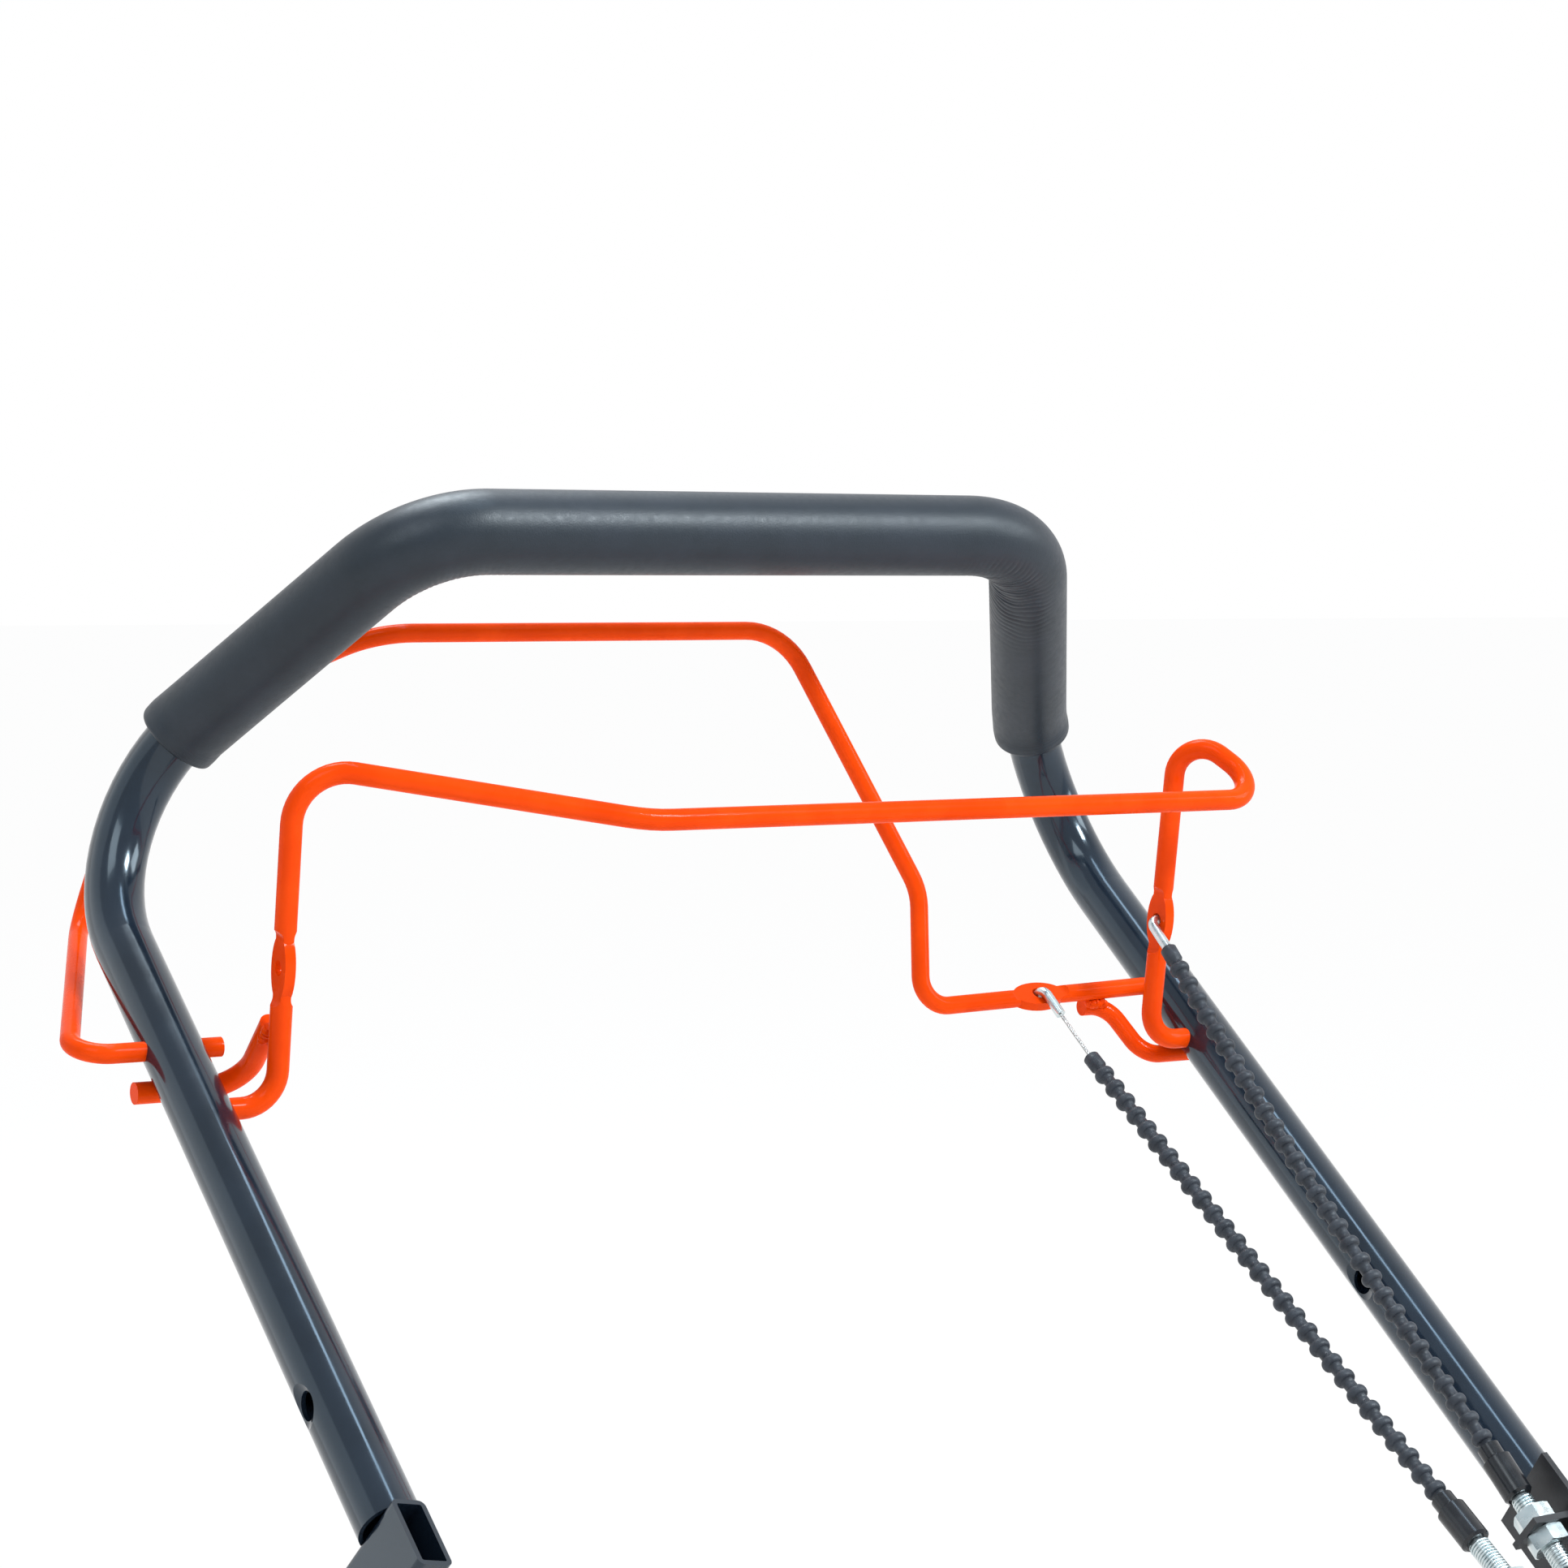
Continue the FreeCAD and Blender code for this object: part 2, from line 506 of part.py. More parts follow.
front_wire = front_bail_wire()
rear_wire = rear_bail_wire()
front_route = front_stop_route()
rear_route = rear_stop_route()
front_stop = rod(front_route, [FRONT_STOP_BEND], FRONT_WIRE)
rear_stop = rod(rear_route, [REAR_STOP_BEND, REAR_STOP_BEND], REAR_WIRE)
front_along = (front_route[1] - front_route[0]).normalize()
arm_beside = swing(FRONT_PIVOT, FRONT_ARM_ANGLE, FRONT_STOP_HEIGHT, -front_arm)
front_weld_place = (front_route[0] + arm_beside) / 2 + front_along * (WELD_LENGTH / 2)
rear_weld_place = rear_route[0] + X_AXIS * (WELD_LENGTH / 2) + Z_AXIS * ((REAR_WIRE + STOP_GAP) / 2)

nodes = {
    "handle_tube": handle_tube(),
    "foam_grip": foam_grip(),
    "front_bail_wire": front_wire,
    "front_bail_stop": front_stop,
    "front_bail_weld": weld(front_weld_place, front_along, [front_wire, front_stop]),
    "rear_bail_wire": rear_wire,
    "rear_bail_stop": rear_stop,
    "rear_bail_weld": weld(rear_weld_place, X_AXIS, [rear_wire, rear_stop]),
    "cable_bracket": cable_bracket(),
    "bracket_bolt": bracket_bolt(),
    "bracket_nut": bracket_nut(),
    "leg_socket": leg_socket(),
}
nodes.update(cable("front", front_eye, -X_AXIS, front_corner, front_boot_top, front_cap_top, FRONT_CAP_TO_TAB))
nodes.update(cable("rear", rear_eye, Z_AXIS, rear_corner, rear_boot_top, rear_cap_top, REAR_CAP_TO_TAB))

os.makedirs("parts", exist_ok=True)
for name, shape in nodes.items():
    solid = (shape.Solids[0] if len(shape.Solids) == 1 else shape).copy()
    solid.rotate(Vector(0, 0, 0), X_AXIS, TILT)
    print(f"{name}: {len(shape.Solids)} solid, valid {solid.isValid()}, {solid.Volume / 1000:.2f} cm3")
    solid.exportStep(f"parts/{name}.step")
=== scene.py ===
# %% [markdown]
# # A mower handle in one scene
# The handle is a bent steel tube with a foam grip, two orange wire bails that hinge in its legs, and two control
# cables in ribbed rubber boots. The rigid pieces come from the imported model, which already sits in metres in its
# own frame. This lesson gives each of them a finish, and remakes the pieces whose charm is in their surface:
# the foam, the boots, the threads and the welds.

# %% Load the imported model
import json
import math

import bmesh
import bpy
import numpy as np
from mathutils import Matrix, Vector


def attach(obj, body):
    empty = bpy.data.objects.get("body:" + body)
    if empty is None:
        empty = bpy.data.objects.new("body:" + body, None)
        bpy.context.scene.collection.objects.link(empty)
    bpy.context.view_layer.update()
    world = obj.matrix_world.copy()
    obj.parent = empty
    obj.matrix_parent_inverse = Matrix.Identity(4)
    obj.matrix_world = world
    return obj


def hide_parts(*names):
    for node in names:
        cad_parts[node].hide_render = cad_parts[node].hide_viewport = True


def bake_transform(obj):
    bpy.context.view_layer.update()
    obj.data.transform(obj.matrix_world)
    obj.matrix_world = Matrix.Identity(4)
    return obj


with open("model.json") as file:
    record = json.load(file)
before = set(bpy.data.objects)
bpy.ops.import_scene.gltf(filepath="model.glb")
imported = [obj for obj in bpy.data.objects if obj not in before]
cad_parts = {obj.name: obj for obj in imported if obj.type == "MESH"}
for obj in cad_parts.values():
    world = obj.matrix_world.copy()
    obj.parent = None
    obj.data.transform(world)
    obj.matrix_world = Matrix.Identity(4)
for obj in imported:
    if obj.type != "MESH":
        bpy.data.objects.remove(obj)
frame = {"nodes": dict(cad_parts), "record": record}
nodes = frame["nodes"]
bpy.context.scene.view_settings.view_transform = "Standard"

# %% [markdown]
# The handle was drawn flat, in the plane of its legs, and then tilted to its working slope. Reading sizes in that
# flat layout is much easier, so one helper turns flat millimetres into the scene's metres.

# %% From the flat layout to the scene
LEG_SLOPE = math.radians(36)
MM = 0.001
tilt = Matrix.Rotation(LEG_SLOPE, 3, "X")


def place(x, up, out):
    """A point across, up along the legs and out from them, in millimetres, as a point of the scene."""
    return tilt @ Vector((x, up, out)) * MM


print("legs lean by", round(math.degrees(LEG_SLOPE)), "degrees")

# %% [markdown]
# Tubes and wires are straight runs joined by round bends. The first helper rounds the corners of such a run, the
# second measures it, and the third reads off evenly spaced stations, so that anything that follows the tube can be
# built ring by ring.


# %% Stations along a bent run
def bent_run(corners, bends, step, fewest=8):
    """Points of straight runs with a round bend of the given radius at each inner corner."""
    points = [corners[0]]
    for before, corner, after, radius in zip(corners, corners[1:], corners[2:], bends):
        back = (before - corner).normalized()
        ahead = (after - corner).normalized()
        half = back.angle(ahead) / 2
        first = corner + back * (radius / math.tan(half))
        centre = corner + (back + ahead).normalized() * (radius / math.sin(half))
        spoke = first - centre
        turn_axis = back.cross(ahead).normalized()
        turn = math.pi - 2 * half
        pieces = max(fewest, int(turn * radius / step))
        for k in range(pieces + 1):
            points.append(centre + Matrix.Rotation(-turn * k / pieces, 3, turn_axis) @ spoke)
    points.append(corners[-1])
    return points


def run_lengths(line):
    """How far along a run each of its points lies."""
    return np.concatenate([[0], np.cumsum(np.linalg.norm(np.diff(line, axis=0), axis=1))])


def even_stations(points, start, end, step):
    """Lengths at an even step between two ends of a run, and the points there."""
    line = np.array(points)
    lengths = run_lengths(line)
    where = np.linspace(start, end, int(round((end - start) / step)) + 1)
    return where, np.stack([np.interp(where, lengths, line[:, k]) for k in range(3)], 1)


LEG_X, LEG_TOP, LEFT_FOOT, RIGHT_FOOT = 218.5, 296.0, -54.0, -196.0
GRIP_X, GRIP_UP, GRIP_OUT = 132.0, 261.0, 162.0
LEG_BEND, GRIP_BEND, TUBE_STEP = 57.0, 46.0, 2.0
tube_corners = [
    Vector((-LEG_X, LEFT_FOOT, 0)), Vector((-LEG_X, LEG_TOP, 0)), Vector((-GRIP_X, GRIP_UP, GRIP_OUT)),
    Vector((GRIP_X, GRIP_UP, GRIP_OUT)), Vector((LEG_X, LEG_TOP, 0)), Vector((LEG_X, RIGHT_FOOT, 0)),
]
tube_line = bent_run(tube_corners, [LEG_BEND, GRIP_BEND, GRIP_BEND, LEG_BEND], TUBE_STEP)
print("tube points:", len(tube_line))

# %% [markdown]
# ## Finishes
# Every finish is made of nodes and reads Object coordinates, so the pattern stays on the piece when it moves. The
# helpers below only save typing: one makes a material with a Principled shader and hands back its node tree, and
# the others add a drift of colour, a drift of roughness and a bump.


# %% Helpers for finishes
COAT_ROUGHNESS = 0.04
SHADE_FROM, SHADE_TO = 0.35, 0.65
SHEEN_FROM, SHEEN_TO = 0.3, 0.7


def new_finish(name, colour, roughness, metallic=0.0, specular=0.5, coat=0.0):
    finish = bpy.data.materials.new(name)
    finish.use_nodes = True
    shader = finish.node_tree.nodes["Principled BSDF"]
    shader.inputs["Base Color"].default_value = (*colour, 1)
    shader.inputs["Roughness"].default_value = roughness
    shader.inputs["Metallic"].default_value = metallic
    shader.inputs["Specular IOR Level"].default_value = specular
    shader.inputs["Coat Weight"].default_value = coat
    shader.inputs["Coat Roughness"].default_value = COAT_ROUGHNESS
    return finish, finish.node_tree, shader


def grain(tree, scale, detail=4.0):
    """Noise on Object coordinates, at so many waves to the metre."""
    coordinates = tree.nodes.new("ShaderNodeTexCoord")
    noise = tree.nodes.new("ShaderNodeTexNoise")
    noise.inputs["Scale"].default_value = scale
    noise.inputs["Detail"].default_value = detail
    tree.links.new(coordinates.outputs["Object"], noise.inputs["Vector"])
    return noise.outputs["Fac"]


def mottle(tree, shader, scale, dark, light):
    """Drifts the colour between two shades."""
    ramp = tree.nodes.new("ShaderNodeValToRGB")
    for stop, position, shade in zip(ramp.color_ramp.elements, (SHADE_FROM, SHADE_TO), (dark, light)):
        stop.position, stop.color = position, (*shade, 1)
    tree.links.new(grain(tree, scale), ramp.inputs["Fac"])
    tree.links.new(ramp.outputs["Color"], shader.inputs["Base Color"])


def sheen_range(tree, shader, scale, low, high):
    """Lets the roughness wander between two values."""
    spread = tree.nodes.new("ShaderNodeMapRange")
    spread.inputs["From Min"].default_value = SHEEN_FROM
    spread.inputs["From Max"].default_value = SHEEN_TO
    spread.inputs["To Min"].default_value = low
    spread.inputs["To Max"].default_value = high
    tree.links.new(grain(tree, scale), spread.inputs["Value"])
    tree.links.new(spread.outputs["Result"], shader.inputs["Roughness"])


def skin(tree, shader, height, strength, depth):
    """Turns a height into a bump."""
    bump = tree.nodes.new("ShaderNodeBump")
    bump.inputs["Strength"].default_value = strength
    bump.inputs["Distance"].default_value = depth
    tree.links.new(height, bump.inputs["Height"])
    tree.links.new(bump.outputs["Normal"], shader.inputs["Normal"])


# %% [markdown]
# The tube wears a deep blue-black stoved paint, nearly black until a light slides along it. A clear coat gives the
# sharp streaks, a tint keeps what it mirrors on the blue side, and a very shallow, broad bump stands for the slight
# orange peel of sprayed paint.

# %% Tube and bracket paint
tube_paint, tree, shader = new_finish("tube_paint", (0.007, 0.011, 0.018), 0.14, specular=0.5, coat=0.3)
shader.inputs["Specular Tint"].default_value = (0.75, 0.9, 1.0, 1)
mottle(tree, shader, 30, (0.006, 0.010, 0.017), (0.009, 0.015, 0.025))
sheen_range(tree, shader, 60, 0.12, 0.2)
skin(tree, shader, grain(tree, 300, 2), 0.05, 0.0004)

bracket_paint, tree, shader = new_finish("bracket_paint", (0.012, 0.012, 0.014), 0.4)
mottle(tree, shader, 80, (0.010, 0.010, 0.012), (0.020, 0.020, 0.023))
sheen_range(tree, shader, 150, 0.32, 0.5)
skin(tree, shader, grain(tree, 1500, 2), 0.1, 0.0003)
print("tube paints ready")

# %% [markdown]
# The bails are dipped in a bright orange-red plastic paint. In a white room a strong gloss would wash it out to
# pink, so it mirrors little, with a thin clear coat for the glints. The colour barely changes, and the bump is long
# and soft where the dip has flowed.

# %% Bail paint
bail_paint, tree, shader = new_finish("bail_paint", (0.74, 0.050, 0.001), 0.25, specular=0.02, coat=0.1)
mottle(tree, shader, 45, (0.70, 0.045, 0.001), (0.78, 0.057, 0.002))
sheen_range(tree, shader, 90, 0.2, 0.32)
skin(tree, shader, grain(tree, 260, 2), 0.08, 0.0005)
print("bail paint ready")

# %% [markdown]
# Foam is a crowd of tiny cells under a thin skin. Two noises share the work: a fine one for the cells, which goes
# to the bump, and a broad one for the drift of grey that handling leaves.

# %% Foam
foam_finish, tree, shader = new_finish("foam", (0.015, 0.020, 0.027), 0.4, specular=0.45)
mottle(tree, shader, 55, (0.008, 0.014, 0.021), (0.012, 0.018, 0.027))
sheen_range(tree, shader, 400, 0.37, 0.47)
skin(tree, shader, grain(tree, 1800, 5), 0.16, 0.0004)
print("foam ready")

# %% [markdown]
# The small hardware is zinc plated, which is bright with a cool, slightly green cast and faint cloudy streaks. The
# bare inner wires are drawn steel. Both are fully metallic, and differ in how tightly they mirror the light.

# %% Zinc and wire steel
zinc, tree, shader = new_finish("zinc", (0.62, 0.70, 0.71), 0.3, metallic=1.0)
mottle(tree, shader, 160, (0.55, 0.64, 0.66), (0.72, 0.77, 0.77))
sheen_range(tree, shader, 300, 0.22, 0.42)
skin(tree, shader, grain(tree, 1800, 3), 0.08, 0.0002)

cable_steel, tree, shader = new_finish("cable_steel", (0.6, 0.6, 0.58), 0.35, metallic=1.0)
mottle(tree, shader, 500, (0.45, 0.45, 0.44), (0.68, 0.68, 0.66))
sheen_range(tree, shader, 900, 0.25, 0.45)
print("metals ready")

# %% [markdown]
# The boots are soft black rubber that has gone a little grey, and the caps are moulded plastic with a satin face.
# Rubber scatters more light and has a powdery drift of grey, while the plastic stays darker and smoother.

# %% Rubber and plastic
boot_rubber, tree, shader = new_finish("boot_rubber", (0.021, 0.025, 0.033), 0.5, specular=0.4)
mottle(tree, shader, 220, (0.015, 0.018, 0.025), (0.029, 0.034, 0.044))
sheen_range(tree, shader, 350, 0.4, 0.6)
skin(tree, shader, grain(tree, 2500, 3), 0.12, 0.0003)

cap_plastic, tree, shader = new_finish("cap_plastic", (0.008, 0.009, 0.012), 0.22)
mottle(tree, shader, 120, (0.006, 0.007, 0.009), (0.011, 0.012, 0.015))
sheen_range(tree, shader, 260, 0.17, 0.27)
skin(tree, shader, grain(tree, 3000, 2), 0.06, 0.0002)
print("rubber and plastic ready")

# %% [markdown]
# ## Rigid pieces
# Tube, bails, hooks, nuts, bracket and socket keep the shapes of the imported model. All they need is a finish, and
# the record's own slot names say which.

# %% Finishes on the rigid pieces
finishes = {
    "tube_paint": tube_paint, "bracket_paint": bracket_paint, "bail_paint": bail_paint, "foam": foam_finish,
    "zinc": zinc, "cable_steel": cable_steel, "boot_rubber": boot_rubber, "cap_plastic": cap_plastic,
}
slot_of = {part["node"]: part["material_slot"] for part in frame["record"]["subparts"]}
for name, piece in nodes.items():
    piece.data.materials.clear()
    piece.data.materials.append(finishes[slot_of[name]])
print("dressed:", len(slot_of))

# %% [markdown]
# ## Foam grip
# The sleeve is one long piece of foam pushed round the bends. On the inside of a bend it has less room than it
# needs, so it gathers into fine wrinkles, and its ends are cut square with a soft lip. It is built ring by ring
# along the tube: each ring knows how sharply the tube turns there and which way is inside, and only that side
# ripples.

# %% Rings of the foam
FOAM_RADIUS, FOAM_BORE, FOAM_LIP = 15.8, 11.1, 2.0
FOAM_PAST_LEFT, FOAM_PAST_RIGHT = 11.0, 18.0
RING_STEP, LONG_STEP, RING_SIDES = 0.3, 4.0, 80


def leg_bend_end(foot, corner, grip_corner):
    """Length along the tube at which a leg's bend meets the slanted shoulder."""
    points = np.array(tube_line)
    reach = LEG_BEND * math.tan((math.pi - (foot - corner).angle(grip_corner - corner)) / 2)
    tangent = np.array(corner + (grip_corner - corner).normalized() * reach)
    return run_lengths(points)[np.argmin(np.linalg.norm(points - tangent, axis=1))]


def ring_mesh(name, rings, finish, body):
    """Skins closed rings of points into a piece that rides on a body."""
    count = len(rings[0])
    mesh = bpy.data.meshes.new(name)
    faces = []
    for k in range(len(rings)):
        after = (k + 1) % len(rings)
        for side in range(count):
            beside = (side + 1) % count
            faces.append((k * count + side, k * count + beside, after * count + beside, after * count + side))
    mesh.from_pydata([place(*point) for ring in rings for point in ring], [], faces)
    mesh.materials.append(finish)
    piece = bpy.data.objects.new(name, mesh)
    bpy.context.scene.collection.objects.link(piece)
    shell = bmesh.new()
    shell.from_mesh(mesh)
    bmesh.ops.recalc_face_normals(shell, faces=shell.faces)
    shell.to_mesh(mesh)
    shell.free()
    mesh.shade_smooth()
    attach(piece, body)
    return piece


foam_start = leg_bend_end(*tube_corners[:3]) - FOAM_PAST_LEFT
foam_end = leg_bend_end(*tube_corners[:2:-1]) + FOAM_PAST_RIGHT
where, centres = even_stations(tube_line, foam_start, foam_end, RING_STEP)
tangents = np.gradient(centres, axis=0)
tangents /= np.linalg.norm(tangents, axis=1)[:, None]
turning = np.gradient(tangents, axis=0) / RING_STEP
sharpness = np.linalg.norm(turning, axis=1)
print("foam length, mm:", round(foam_end - foam_start, 1), "rings:", len(where))

# %% [markdown]
# Wrinkles don't stop dead where a bend does, so the bend's sharpness and its inner side are first spread a little
# along the sleeve. The leg bends lie under the sleeve's smooth ends and are left out.

# %% Where the foam wrinkles
WRINKLE_SPREAD, SPREAD_REACH, SMOOTH_END = 12.0, 33.0, 45.0
STRAIGHT, TINY = 1e-3, 1e-6

inside = np.where(sharpness[:, None] > STRAIGHT, turning / np.maximum(sharpness, TINY)[:, None], 0)
sharpness[(where < foam_start + SMOOTH_END) | (where > foam_end - SMOOTH_END)] = 0
spread = np.exp(-0.5 * (np.arange(-SPREAD_REACH, SPREAD_REACH, RING_STEP) / WRINKLE_SPREAD) ** 2)
spread /= spread.sum()
bendiness = np.convolve(np.minimum(sharpness * GRIP_BEND, 1), spread, mode="same")
inside = np.stack([np.convolve(inside[:, k], spread, mode="same") for k in range(3)], 1)
inside /= np.maximum(np.linalg.norm(inside, axis=1), TINY)[:, None]
print("wrinkled rings:", int((bendiness > 0).sum()))

# %% [markdown]
# A ring needs a steady pair of axes, or the mesh would twist. The first is given and then carried along, losing
# only the part that points along the tube. The right bend is more crumpled than the left, so its wrinkles reach
# further round and deeper, and they have slipped a little towards the leg. Slow waves along and round the sleeve
# break the wrinkles into patches and let them wander. Rings lie close together where there is something to show,
# and far apart on the plain runs.

# %% Foam sleeve
WRINKLE_LENGTH, WRINKLE_DEPTH, SLIP = 2.7, 1.0, 9.0
LEFT_WRINKLES, RIGHT_WRINKLES = (0.1, 0.7), (0.4, 1.2)
END_SWELL, SWELL_PLACE, SWELL_WIDTH = 0.2, 5.0, 3.0
WAIST_DEPTH, WAIST_LENGTH = 0.15, 6.0
FINE_BEND, FINE_END = 0.02, 12.0

angles = np.linspace(0, 2 * math.pi, RING_SIDES, endpoint=False)
side_axis = np.array([0.0, 1.0, 0.0])
outer_rings, bore_rings, last_ring, last_bore = [], [], -LONG_STEP, -LONG_STEP
foam_middle = (foam_start + foam_end) / 2
for k, (along, centre, tangent) in enumerate(zip(where, centres, tangents)):
    side_axis = side_axis - tangent * (side_axis @ tangent)
    side_axis /= np.linalg.norm(side_axis)
    other_axis = np.cross(tangent, side_axis)
    spokes = np.cos(angles)[:, None] * side_axis + np.sin(angles)[:, None] * other_axis
    right_half = along > foam_middle
    width, depth = RIGHT_WRINKLES if right_half else LEFT_WRINKLES
    bend_here = bendiness[k - int(SLIP / RING_STEP)] if right_half else bendiness[k]
    facing = np.clip(width + spokes @ inside[k], 0, 1) * bend_here * depth
    patches = 0.6 + 0.4 * np.sin(angles * 5 + along / 3.1) * np.sin(along / 4.3 - angles * 2)
    wander = 1.3 * np.sin(along / 17.0) + 0.8 * np.sin(angles * 3 + along / 7.0)
    wander += 0.6 * np.sin(angles * 7 - along / 5.0)
    ripple = 0.5 + 0.5 * np.cos(2 * math.pi * along / WRINKLE_LENGTH + 1.6 * wander)
    from_end = min(along - foam_start, foam_end - along)
    lip = FOAM_LIP - math.sqrt(max(FOAM_LIP**2 - max(FOAM_LIP - from_end, 0) ** 2, 0))
    swell = END_SWELL * math.exp(-((from_end - SWELL_PLACE) / SWELL_WIDTH) ** 2)
    waist = WAIST_DEPTH * (1 - math.exp(-from_end / WAIST_LENGTH))
    radii = FOAM_RADIUS - WRINKLE_DEPTH * facing * patches * ripple**2 - lip + swell - waist
    if max(bendiness[k], bend_here) > FINE_BEND or from_end < FINE_END or along - last_ring >= LONG_STEP:
        outer_rings.append(centre + spokes * radii[:, None])
        last_ring = along
    if from_end == 0 or along - last_bore >= LONG_STEP:
        bore_rings.append(centre + spokes * FOAM_BORE)
        last_bore = along
foam = ring_mesh("foam_sleeve", outer_rings + bore_rings[::-1], foam_finish, "root")
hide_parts("foam_grip")
print("foam faces:", len(foam.data.polygons))

# %% [markdown]
# ## Pieces swept along a line
# A boot, an inner wire and a thread all follow a line, so one Geometry Nodes tree can sweep them. The line is a
# plain mesh of points, each with a thickness of its own. The tree turns it into a curve and sweeps a circle along
# it, scaled by the thickness at each point. Realize Instances and Set Material end the tree, and the result
# is then kept as a plain mesh.

# %% A tree that sweeps a circle along a line
sweep_tree = bpy.data.node_groups.new("sweep_along_line", "GeometryNodeTree")
sweep_tree.interface.new_socket("Geometry", in_out="INPUT", socket_type="NodeSocketGeometry")
sides_socket = sweep_tree.interface.new_socket("Sides", in_out="INPUT", socket_type="NodeSocketInt")
finish_socket = sweep_tree.interface.new_socket("Finish", in_out="INPUT", socket_type="NodeSocketMaterial")
sweep_tree.interface.new_socket("Geometry", in_out="OUTPUT", socket_type="NodeSocketGeometry")


def add(kind):
    return sweep_tree.nodes.new(kind)


line_in, swept_out = add("NodeGroupInput"), add("NodeGroupOutput")
to_curve, thickness = add("GeometryNodeMeshToCurve"), add("GeometryNodeInputNamedAttribute")
circle, sweep = add("GeometryNodeCurvePrimitiveCircle"), add("GeometryNodeCurveToMesh")
realize, smooth = add("GeometryNodeRealizeInstances"), add("GeometryNodeSetShadeSmooth")
set_finish = add("GeometryNodeSetMaterial")
thickness.data_type = "FLOAT"
thickness.inputs["Name"].default_value = "thickness"
circle.inputs["Radius"].default_value = 1.0
sweep.inputs["Fill Caps"].default_value = True
for start, end in [
    (line_in.outputs["Geometry"], to_curve.inputs["Mesh"]),
    (to_curve.outputs["Curve"], sweep.inputs["Curve"]),
    (thickness.outputs["Attribute"], sweep.inputs["Scale"]),
    (line_in.outputs["Sides"], circle.inputs["Resolution"]),
    (circle.outputs["Curve"], sweep.inputs["Profile Curve"]),
    (sweep.outputs["Mesh"], realize.inputs["Geometry"]),
    (realize.outputs["Geometry"], smooth.inputs["Geometry"]),
    (smooth.outputs["Geometry"], set_finish.inputs["Geometry"]),
    (line_in.outputs["Finish"], set_finish.inputs["Material"]),
    (set_finish.outputs["Geometry"], swept_out.inputs["Geometry"]),
]:
    sweep_tree.links.new(start, end)
print("sweep tree nodes:", len(sweep_tree.nodes))


# %% From lines to plain meshes
SAME_POINT = 1e-7


def swept_piece(name, lines, sides, finish):
    """Sweeps each (points, thicknesses) line and returns one plain mesh object."""
    points, edges, thick = [], [], []
    for line, widths in lines:
        base = len(points)
        points += [tuple(point) for point in line]
        thick += list(widths)
        edges += [(base + k, base + k + 1) for k in range(len(line) - 1)]
    mesh = bpy.data.meshes.new(name + "_line")
    mesh.from_pydata(points, edges, [])
    attribute = mesh.attributes.new("thickness", "FLOAT", "POINT")
    attribute.data.foreach_set("value", thick)
    carrier = bpy.data.objects.new(name + "_line", mesh)
    bpy.context.scene.collection.objects.link(carrier)
    modifier = carrier.modifiers.new("sweep", "NODES")
    modifier.node_group = sweep_tree
    modifier[sides_socket.identifier] = sides
    modifier[finish_socket.identifier] = finish
    bpy.context.view_layer.update()
    evaluated = carrier.evaluated_get(bpy.context.evaluated_depsgraph_get())
    result = bpy.data.meshes.new_from_object(evaluated)
    bpy.data.objects.remove(carrier)
    shell = bmesh.new()
    shell.from_mesh(result)
    bmesh.ops.remove_doubles(shell, verts=shell.verts, dist=SAME_POINT)
    bmesh.ops.recalc_face_normals(shell, faces=shell.faces)
    shell.to_mesh(result)
    shell.free()
    result.name = name
    piece = bpy.data.objects.new(name, result)
    bpy.context.scene.collection.objects.link(piece)
    return piece


# %% [markdown]
# ## Cables
# Each bail pulls on a thin steel wire inside a ribbed boot. The boot starts as a plain collar and goes on as a row
# of round beads, so its thickness along the line is a wave of beads and necks. Its far end sits at the bracket and
# its near end just below the hook. Boot and wire are built where they rest and are tied to no body, so neither
# follows the bail. Of each flex pair below the hook, only the hook end is used, as the first point of the wire.
#
# A cable starts at the corner of the hook in its bail's eye. The front eye lies on a leaning arm, so far from the
# hinge, and the rear eye on the nearly level run between the rear bail's pin and its elbow.

# %% Where the cables run
HOOK_SHANK, HOOK_CLEAR, WIRE_GAP, BOOT_GAP = 15.0, 5.3, 0.3, 0.8
CABLE_OUT, CAP_LENGTH = 18.0, 22.0
FRONT_ARM_X, FRONT_HINGE_UP, FRONT_EYE_REACH, FRONT_LEAN = 190.0, 139.0, 50.0, math.radians(62.5)
FRONT_CABLE_X, FRONT_CAP_UP, FRONT_STUD, FRONT_FLEX = 192.5, -100.0, 32.0, 100.0
REAR_PIN_X, REAR_EYE_X, REAR_ELBOW_X = 207.5, 153.0, 97.0
REAR_HINGE_UP, REAR_ELBOW_DROP, REAR_LEAN = 171.0, 3.0, math.radians(40)
REAR_CABLE_X, REAR_CAP_UP, REAR_STUD = 158.0, -119.0, 43.5
REAR_BOOT_UP, REAR_BOOT_SAG = 132.5, 0.5
FRONT_BOW = Vector((-4.0, 0, 0))
REAR_BOW = Vector((0, 0, -1.0))


def along_line(start, end, reach):
    """The point so far from the start of a line, towards its end."""
    return start.lerp(end, reach / (end - start).length)


